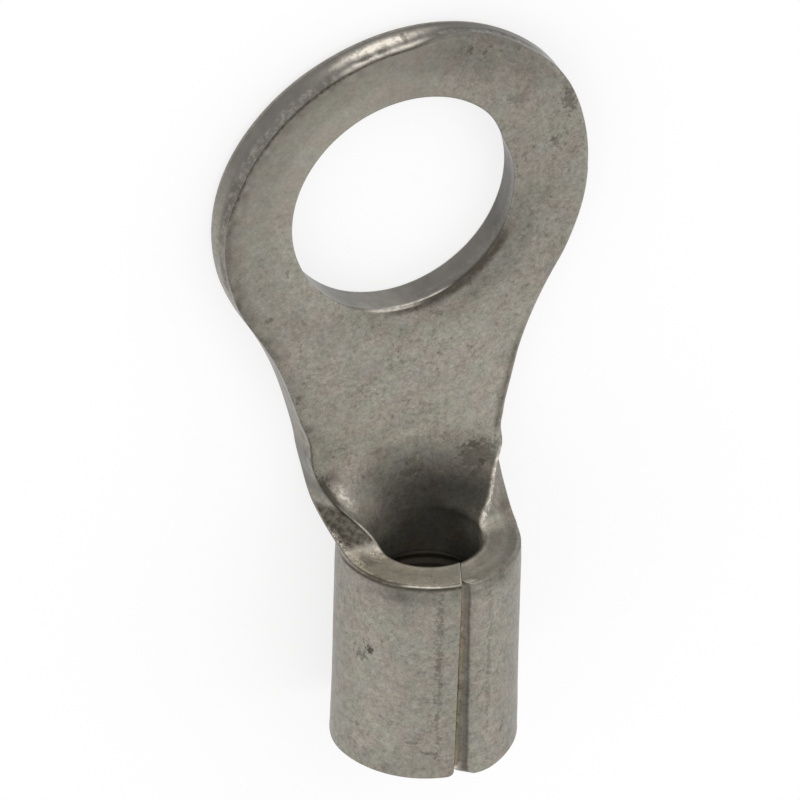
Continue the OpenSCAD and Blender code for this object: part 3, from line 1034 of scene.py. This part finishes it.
def mottle_group():
    """Cloudy patches, fine grain, dark specks and thin hair marks, from a millimetre down to 0.03 mm."""
    tree, g, get, put = node_group(
        "Tin mottle",
        [(VECTOR, "Place", None), (COLOR, "Tin", None), (COLOR, "Warm", None), (COLOR, "Cool", None),
         (COLOR, "Dark", None), (FLOAT, "Specks", 1.0), (FLOAT, "Calm", 0.0)],
        [(COLOR, "Color"), (FLOAT, "Roughness")])
    place = get["Place"]
    warm = g.times(g.ramp(g.noise(place, 1300, 2, 0.5), 0.38, 0.62), 0.8)
    cool = g.times(g.ramp(g.noise(place, 2100, 1, 0.5), 0.48, 0.66), 0.4)
    base = g.mix(cool, g.mix(warm, get["Tin"], get["Warm"]), get["Cool"])
    cloud = g.noise(place, 1500, 3, 0.55)
    shade = g.scaled(cloud, 0.25, 0.75, 0.93, 1.07)
    for scale, detail, rough, depth in MOTTLE_LAYERS:
        shade = g.plus(shade, g.scaled(g.noise(place, scale, detail, rough), 0.25, 0.75, -depth, depth))
    kept = g.minus(1.0, g.times(get["Calm"], 0.5))
    base = g.mix(1.0, base, g.plus(1.0, g.times(g.minus(shade, 1.0), kept)), "MULTIPLY")
    crowd = g.ramp(g.noise(place, 900, 3, 0.6), 0.38, 0.66)
    speck = g.ramp(g.noise(place, 9500, 2, 0.5), 0.58, 0.74)
    speck = g.times(speck, g.plus(g.times(crowd, 0.8), 0.2))
    hair = g.times(hair_marks(g, place), g.plus(g.times(crowd, 0.4), 0.22))
    fewer = g.larger(0.0, g.minus(1.0, g.times(get["Calm"], 0.7)))
    marks = g.times(g.times(g.larger(speck, hair), get["Specks"]), fewer)
    g.join(g.mix(marks, base, get["Dark"]), put["Color"])
    g.join(g.plus(g.scaled(cloud, 0.3, 0.7, 0.33, 0.40), g.times(marks, 0.15)), put["Roughness"])
    return tree


def grain_group():
    """Height of the matte plating: fine grain, shallow dents and sparse pits."""
    tree, g, get, put = node_group("Plating grain", [(VECTOR, "Place", None)], [(FLOAT, "Height")])
    fine = g.noise(get["Place"], 14000, 3, 0.6)
    coarse = g.noise(get["Place"], 3600, 4, 0.6)
    pits = g.ramp(g.noise(get["Place"], 6000, 1, 0.5), 0.66, 0.78)
    g.join(g.minus(g.plus(g.times(fine, 0.4), coarse), g.times(pits, 0.5)), put["Height"])
    return tree


def highlight_group():
    """Lays a painted highlight over a colour where a mask and a patchy noise are both high."""
    tree, g, get, put = node_group(
        "Rubbed metal",
        [(VECTOR, "Place", None), (COLOR, "Color", None), (COLOR, "Glint", None), (FLOAT, "Mask", 0.0)],
        [(COLOR, "Color"), (FLOAT, "Amount")])
    patchy = g.scaled(g.noise(get["Place"], 9000, 3, 0.6), 0.38, 0.58, 0.6, 1.1)
    amount = g.math("MINIMUM", g.times(get["Mask"], patchy), 1.0)
    g.join(g.mix(amount, get["Color"], get["Glint"]), put["Color"])
    g.join(amount, put["Amount"])
    return tree


def spot_group():
    """A mark with a ragged outline: 1 inside an ellipsoid about a centre, fading to 0 at its edge."""
    tree, g, get, put = node_group(
        "Spot",
        [(VECTOR, "Place", None), (VECTOR, "Centre", None), (VECTOR, "Reach", None), (FLOAT, "Ragged", 0.6)],
        [(FLOAT, "Mask")])
    off = g.vectors("SUBTRACT", get["Place"], get["Centre"]).outputs[0]
    far = g.vectors("LENGTH", g.vectors("DIVIDE", off, get["Reach"]).outputs[0]).outputs["Value"]
    rag = g.times(g.minus(g.noise(get["Place"], 11000, 3, 0.6), 0.5), get["Ragged"])
    far = g.plus(far, g.times(rag, 3.0))
    g.join(g.minus(1.0, g.ramp(far, 0.55, 1.15)), put["Mask"])
    return tree


# Marks on the surface: centre and reach in millimetres, raggedness and strength
MARKS = (
    ((-0.39, -9.9, 3.95), (0.07, 2.0, 0.4), 2.0, 0.42),
    ((0.79, -10.2, 3.90), (0.06, 1.8, 0.4), 2.0, 0.35),
    ((-1.57, -9.80, 2.93), (0.09, 0.10, 0.2), 1.4, 0.95),
    ((-1.70, -10.03, 2.70), (0.10, 0.12, 0.2), 1.8, 0.5),
    ((-0.90, -11.93, 3.71), (0.20, 0.04, 0.2), 0.8, 0.45),
    ((-0.55, -12.18, 3.88), (0.20, 0.06, 0.2), 0.9, 0.45),
    ((1.80, -6.80, 0.95), (0.46, 0.38, 0.3), 0.8, 0.62),
    ((1.72, -6.62, 0.95), (0.16, 0.14, 0.3), 1.0, 0.8),
    ((1.84, -6.93, 1.07), (0.08, 0.08, 0.2), 0.9, 1.0),
    ((1.60, -7.14, 1.12), (0.07, 0.06, 0.2), 0.9, 1.0),
    ((1.06, -7.31, 0.98), (0.06, 0.04, 0.2), 0.7, 0.8),
    ((2.63, 2.07, 0.80), (0.30, 0.16, 0.2), 1.2, 0.22),
    ((3.47, 0.77, 0.80), (0.11, 0.13, 0.2), 1.0, 0.5),
    ((3.81, 1.78, 0.80), (0.17, 0.40, 0.2), 1.6, 0.55),
    ((1.42, 3.56, 0.80), (0.07, 0.08, 0.2), 1.0, 0.6),
    ((1.77, 3.42, 0.80), (0.08, 0.06, 0.2), 1.0, 0.6),
    ((-2.76, -1.15, 0.80), (0.05, 0.14, 0.2), 1.2, 0.4),
    ((-3.13, -2.21, 0.80), (0.11, 0.06, 0.2), 1.2, 0.6),
    ((0.25, -6.95, 0.82), (0.28, 0.10, 0.3), 1.2, 0.45),
    ((-0.57, 3.87, 0.59), (0.14, 0.10, 0.07), 0.5, 0.65),
    ((-0.99, 3.80, 0.59), (0.24, 0.12, 0.06), 0.5, 0.65),
    ((0.02, 4.00, 0.42), (0.09, 0.12, 0.16), 0.5, 0.6),
)
# Depth of the plating's grain, in metres
GRAIN_DEPTH = 0.01 * MM


def placed_marks(g, place):
    """The marks of the table, the strongest of them at each point."""
    spot, spots = spot_group(), None
    for centre, reach, ragged, strength in MARKS:
        centre, reach = [c * MM for c in centre], [c * MM for c in reach]
        mark = g.group(spot, Place=place, Centre=centre, Reach=reach, Ragged=ragged)
        mask = g.times(mark.outputs["Mask"], strength)
        spots = mask if spots is None else g.larger(spots, mask)
    return spots


def plated_colour(g, place, finish, cut, dark):
    """Mottled tin on the faces and grey on the cut edge, which also lays painted shade there, times the
    mesh's painted light and shade, and its roughness.
    """
    specks = g.plus(g.minus(0.6, g.times(cut, 0.3)), g.times(dark, 0.8))
    mottle = g.group(mottle_group(), Place=place, Tin=finish.tin, Warm=finish.warm, Cool=finish.cool,
                     Dark=finish.dark, Specks=specks, Calm=g.value("calm"))
    grey = g.scaled(g.noise(place, 2600, 4, 0.6), 0.3, 0.7, 0.86, 1.12)
    grey = g.mix(1.0, finish.cut, grey, "MULTIPLY")
    colour_here = g.mix(cut, mottle.outputs["Color"], grey)
    # Multiplies in the painted light and shade
    return g.mix(1.0, colour_here, g.value("tone"), "MULTIPLY"), mottle.outputs["Roughness"]


def tin_material(finish):
    """Matte tin: mottled, darker and smoother on the cut edges, with dirt and painted shade in the creases
    and the bore, and painted highlights on the edges.
    """
    material = bpy.data.materials.new("matte_tin")
    material.use_nodes = True
    g = Graph(material.node_tree)
    shader = material.node_tree.nodes["Principled BSDF"]
    place = g.add("ShaderNodeTexCoord").outputs["Object"]
    # The cut edge's grey, which also lays painted shade, and the dirt with painted shade
    cut, dark = g.value("cut"), g.value("dark")
    color, rough = plated_colour(g, place, finish, cut, dark)
    spots = placed_marks(g, place)
    # Dirt, marks, and the painted shade of the creases and the bore darken the colour
    dirt_and_shade_amount = g.times(dark, g.scaled(g.noise(place, 9000, 3, 0.6), 0.35, 0.6, 0.5, 1.0))
    dirt_and_shade_amount = g.larger(g.larger(dirt_and_shade_amount, spots), g.value("inside"))
    color = g.mix(dirt_and_shade_amount, color, finish.dark)
    # Faint painted highlights in streaks along the torn part of the cut edge
    streak = g.times(g.value("torn"), g.ramp(g.noise(place, 7000, 4, 0.7), 0.44, 0.62))
    # Scuff strokes, laid as painted highlights
    strokes = g.ramp(g.noise(place, 10500, 3, 0.7), 0.47, 0.54)
    strokes = g.times(g.value("scuffed"), g.plus(g.times(strokes, 0.95), 0.12))
    # All painted highlights, kept off the marks
    highlight_mask = g.larger(g.larger(g.value("bright"), strokes), g.times(streak, 0.14))
    highlight_mask = g.times(highlight_mask, g.minus(1.0, spots))
    highlight_layer = g.group(highlight_group(), Place=place, Color=color, Glint=finish.highlight_colour, Mask=highlight_mask)
    rough = g.plus(rough, g.times(g.value("matte"), 0.20))
    rough = g.minus(g.minus(rough, g.times(cut, 0.08)), g.times(highlight_layer.outputs["Amount"], 0.12))
    grain = g.group(grain_group(), Place=place)
    height = grain.outputs["Height"]
    bump = g.add("ShaderNodeBump", {"Strength": 0.3, "Distance": GRAIN_DEPTH, "Height": height})
    g.join(highlight_layer.outputs["Color"], shader.inputs["Base Color"])
    g.join(rough, shader.inputs["Roughness"])
    g.join(bump.outputs["Normal"], shader.inputs["Normal"])
    shader.inputs["Metallic"].default_value = 1.0
    return material


class TERMINAL_OT_build(bpy.types.Operator):
    """Builds the terminal's sheet, bends it and gives it its finish"""
    bl_idname = "terminal.build"
    bl_label = "Build Terminal"

    def execute(self, context):
        points, faces, values = Terminal(context.scene.terminal_sizes).build()
        piece = add_mesh("rolled_terminal", points, faces, values)
        piece.data.materials.append(tin_material(context.scene.terminal_finish))
        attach(piece, "root")
        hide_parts(NODE)
        return {"FINISHED"}


# The camera stands far off. Its angles are those of the terminal stood on its wire end
CAMERA_TURN = math.radians(-25.1)
CAMERA_RISE = math.radians(34.61)
CAMERA_ROLL = math.radians(1.57)
CAMERA_DISTANCE = 428.6 * MM
CAMERA_CLIP = (0.01, 10)
PIXELS = 800
FOCAL_PIXELS = 19722
SENSOR_MM = 36.0
# Where the wire end's centre appears in the picture, in pixels from its middle: right and up
WIRE_END_AT = (423.25 - PIXELS / 2, PIXELS / 2 - 725.43)
FLOOR_REACH = 0.6
FLOOR_GREY = (0.9, 0.9, 0.9)
# Share of the floor that shows as plain white. The rest of it keeps the object's shadow
FLOOR_WHITE = 0.75
WHITE = (1, 1, 1)
# The square area lamps all face one point: name, direction and power
LAMPS = (
    ("left_lamp", (-1, 0.1, 0.5), 0.35),
    ("right_lamp", (1, -0.3, 0.6), 0.15),
    ("top_lamp", (0.1, 1, 0.7), 0.25),
)
LAMP_SIZE = 0.45
LAMP_DISTANCE = 0.5
LAMP_AIM = Vector((0, -4.5 * MM, 1 * MM))


def laid_down(v):
    """A direction of the terminal stood on its wire end, turned with it as it lies on its back."""
    return Vector((v[0], v[2], -v[1]))


def camera_matrix():
    """Looks at the wire end from the turn and rise, then swings so that it falls where it should."""
    level = math.cos(CAMERA_RISE)
    back = Vector((math.sin(CAMERA_TURN) * level, -math.cos(CAMERA_TURN) * level, math.sin(CAMERA_RISE)))
    right = Vector((math.cos(CAMERA_TURN), math.sin(CAMERA_TURN), 0))
    up = back.cross(right)
    c, s = math.cos(CAMERA_ROLL), math.sin(CAMERA_ROLL)
    right, up, back = laid_down(c * right + s * up), laid_down(c * up - s * right), laid_down(back)
    eye = Vector((BARREL_X, WIRE_END_Y, BARREL_Z)) + back * CAMERA_DISTANCE
    forward = -back - right * (WIRE_END_AT[0] / FOCAL_PIXELS) - up * (WIRE_END_AT[1] / FOCAL_PIXELS)
    z = -forward.normalized()
    x = up.cross(z).normalized()
    y = z.cross(x)
    return Matrix(((x.x, y.x, z.x, eye.x), (x.y, y.y, z.y, eye.y), (x.z, y.z, z.z, eye.z), (0, 0, 0, 1)))


def show_white(tree, shader, white_kind, share, output):
    """Mixes a share of plain white into a shader where the camera, gloss or glass sees it."""
    g = Graph(tree)
    white = g.add(white_kind, {"Color": WHITE, "Strength": 1.0})
    path = g.add("ShaderNodeLightPath").outputs
    seen = g.larger(path["Is Camera Ray"], g.larger(path["Is Glossy Ray"], path["Is Transmission Ray"]))
    mix = g.add("ShaderNodeMixShader", {0: g.times(seen, share), 1: shader, 2: white.outputs[0]})
    g.join(mix.outputs[0], tree.nodes[output].inputs["Surface"])


def add_floor(scene):
    """A matte floor at the terminal's lowest point, as the stage."""
    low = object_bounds()[0][2]
    corners = [(-1, -1), (1, -1), (1, 1), (-1, 1)]
    mesh = bpy.data.meshes.new("floor")
    mesh.from_pydata([(x * FLOOR_REACH, y * FLOOR_REACH, low) for x, y in corners], [], [(0, 1, 2, 3)])
    floor = bpy.data.objects.new("floor", mesh)
    scene.collection.objects.link(floor)
    material = bpy.data.materials.new("white_floor")
    material.use_nodes = True
    shader = material.node_tree.nodes["Principled BSDF"]
    shader.inputs["Base Color"].default_value = (*FLOOR_GREY, 1)
    shader.inputs["Roughness"].default_value = 1.0
    shader.inputs["Specular IOR Level"].default_value = 0.0
    show_white(material.node_tree, shader.outputs[0], "ShaderNodeEmission", FLOOR_WHITE, "Material Output")
    mesh.materials.append(material)
    floor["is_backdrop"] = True


def light_world(scene):
    """An even white world, shown as plain white behind the terminal."""
    world = bpy.data.worlds.new("studio")
    scene.world = world
    world.use_nodes = True
    soft = world.node_tree.nodes["Background"]
    soft.inputs["Color"].default_value = (*WHITE, 1)
    soft.inputs["Strength"].default_value = 1.0
    show_white(world.node_tree, soft.outputs[0], "ShaderNodeBackground", 1.0, "World Output")


def add_lamp(scene, name, direction, power):
    """A square area lamp that faces the terminal from a direction."""
    lamp = bpy.data.lights.new(name, "AREA")
    lamp.size = LAMP_SIZE
    lamp.energy = power
    thing = bpy.data.objects.new(name, lamp)
    aim = Vector(direction).normalized()
    thing.location = LAMP_AIM + aim * LAMP_DISTANCE
    thing.rotation_euler = aim.to_track_quat("Z", "Y").to_euler()
    scene.collection.objects.link(thing)


def add_camera(scene):
    """The scene's camera, with the lens that gives the focal length in pixels."""
    camera = bpy.data.cameras.new("camera")
    camera.sensor_width = SENSOR_MM
    camera.lens = FOCAL_PIXELS * SENSOR_MM / PIXELS
    camera.clip_start, camera.clip_end = CAMERA_CLIP
    thing = bpy.data.objects.new("camera", camera)
    thing.matrix_world = camera_matrix()
    scene.collection.objects.link(thing)
    scene.camera = thing


class TERMINAL_OT_stage(bpy.types.Operator):
    """Adds the floor, the world, the lamps and the camera"""
    bl_idname = "terminal.stage"
    bl_label = "Set Stage"

    def execute(self, context):
        scene = context.scene
        add_floor(scene)
        light_world(scene)
        for lamp in LAMPS:
            add_lamp(scene, *lamp)
        add_camera(scene)
        scene.view_settings.view_transform = "Standard"
        return {"FINISHED"}


class TERMINAL_PT_sidebar(bpy.types.Panel):
    bl_label = "Ring Terminal"
    bl_idname = "TERMINAL_PT_sidebar"
    bl_space_type = "VIEW_3D"
    bl_region_type = "UI"
    bl_category = "Terminal"

    def draw(self, context):
        for group in (context.scene.terminal_sizes, context.scene.terminal_finish):
            box = self.layout.box()
            for key in group.__annotations__:
                box.prop(group, key)
        for operator in (TERMINAL_OT_build, TERMINAL_OT_stage):
            self.layout.operator(operator.bl_idname)


CLASSES = (TerminalSizes, TerminalFinish, TERMINAL_OT_build, TERMINAL_OT_stage, TERMINAL_PT_sidebar)


def register():
    for cls in CLASSES:
        bpy.utils.register_class(cls)
    bpy.types.Scene.terminal_sizes = bpy.props.PointerProperty(type=TerminalSizes)
    bpy.types.Scene.terminal_finish = bpy.props.PointerProperty(type=TerminalFinish)


def unregister():
    del bpy.types.Scene.terminal_finish
    del bpy.types.Scene.terminal_sizes
    for cls in reversed(CLASSES):
        bpy.utils.unregister_class(cls)


def main():
    register()
    bpy.ops.terminal.build()
    bpy.ops.terminal.stage()


if __name__ == "__main__":
    main()
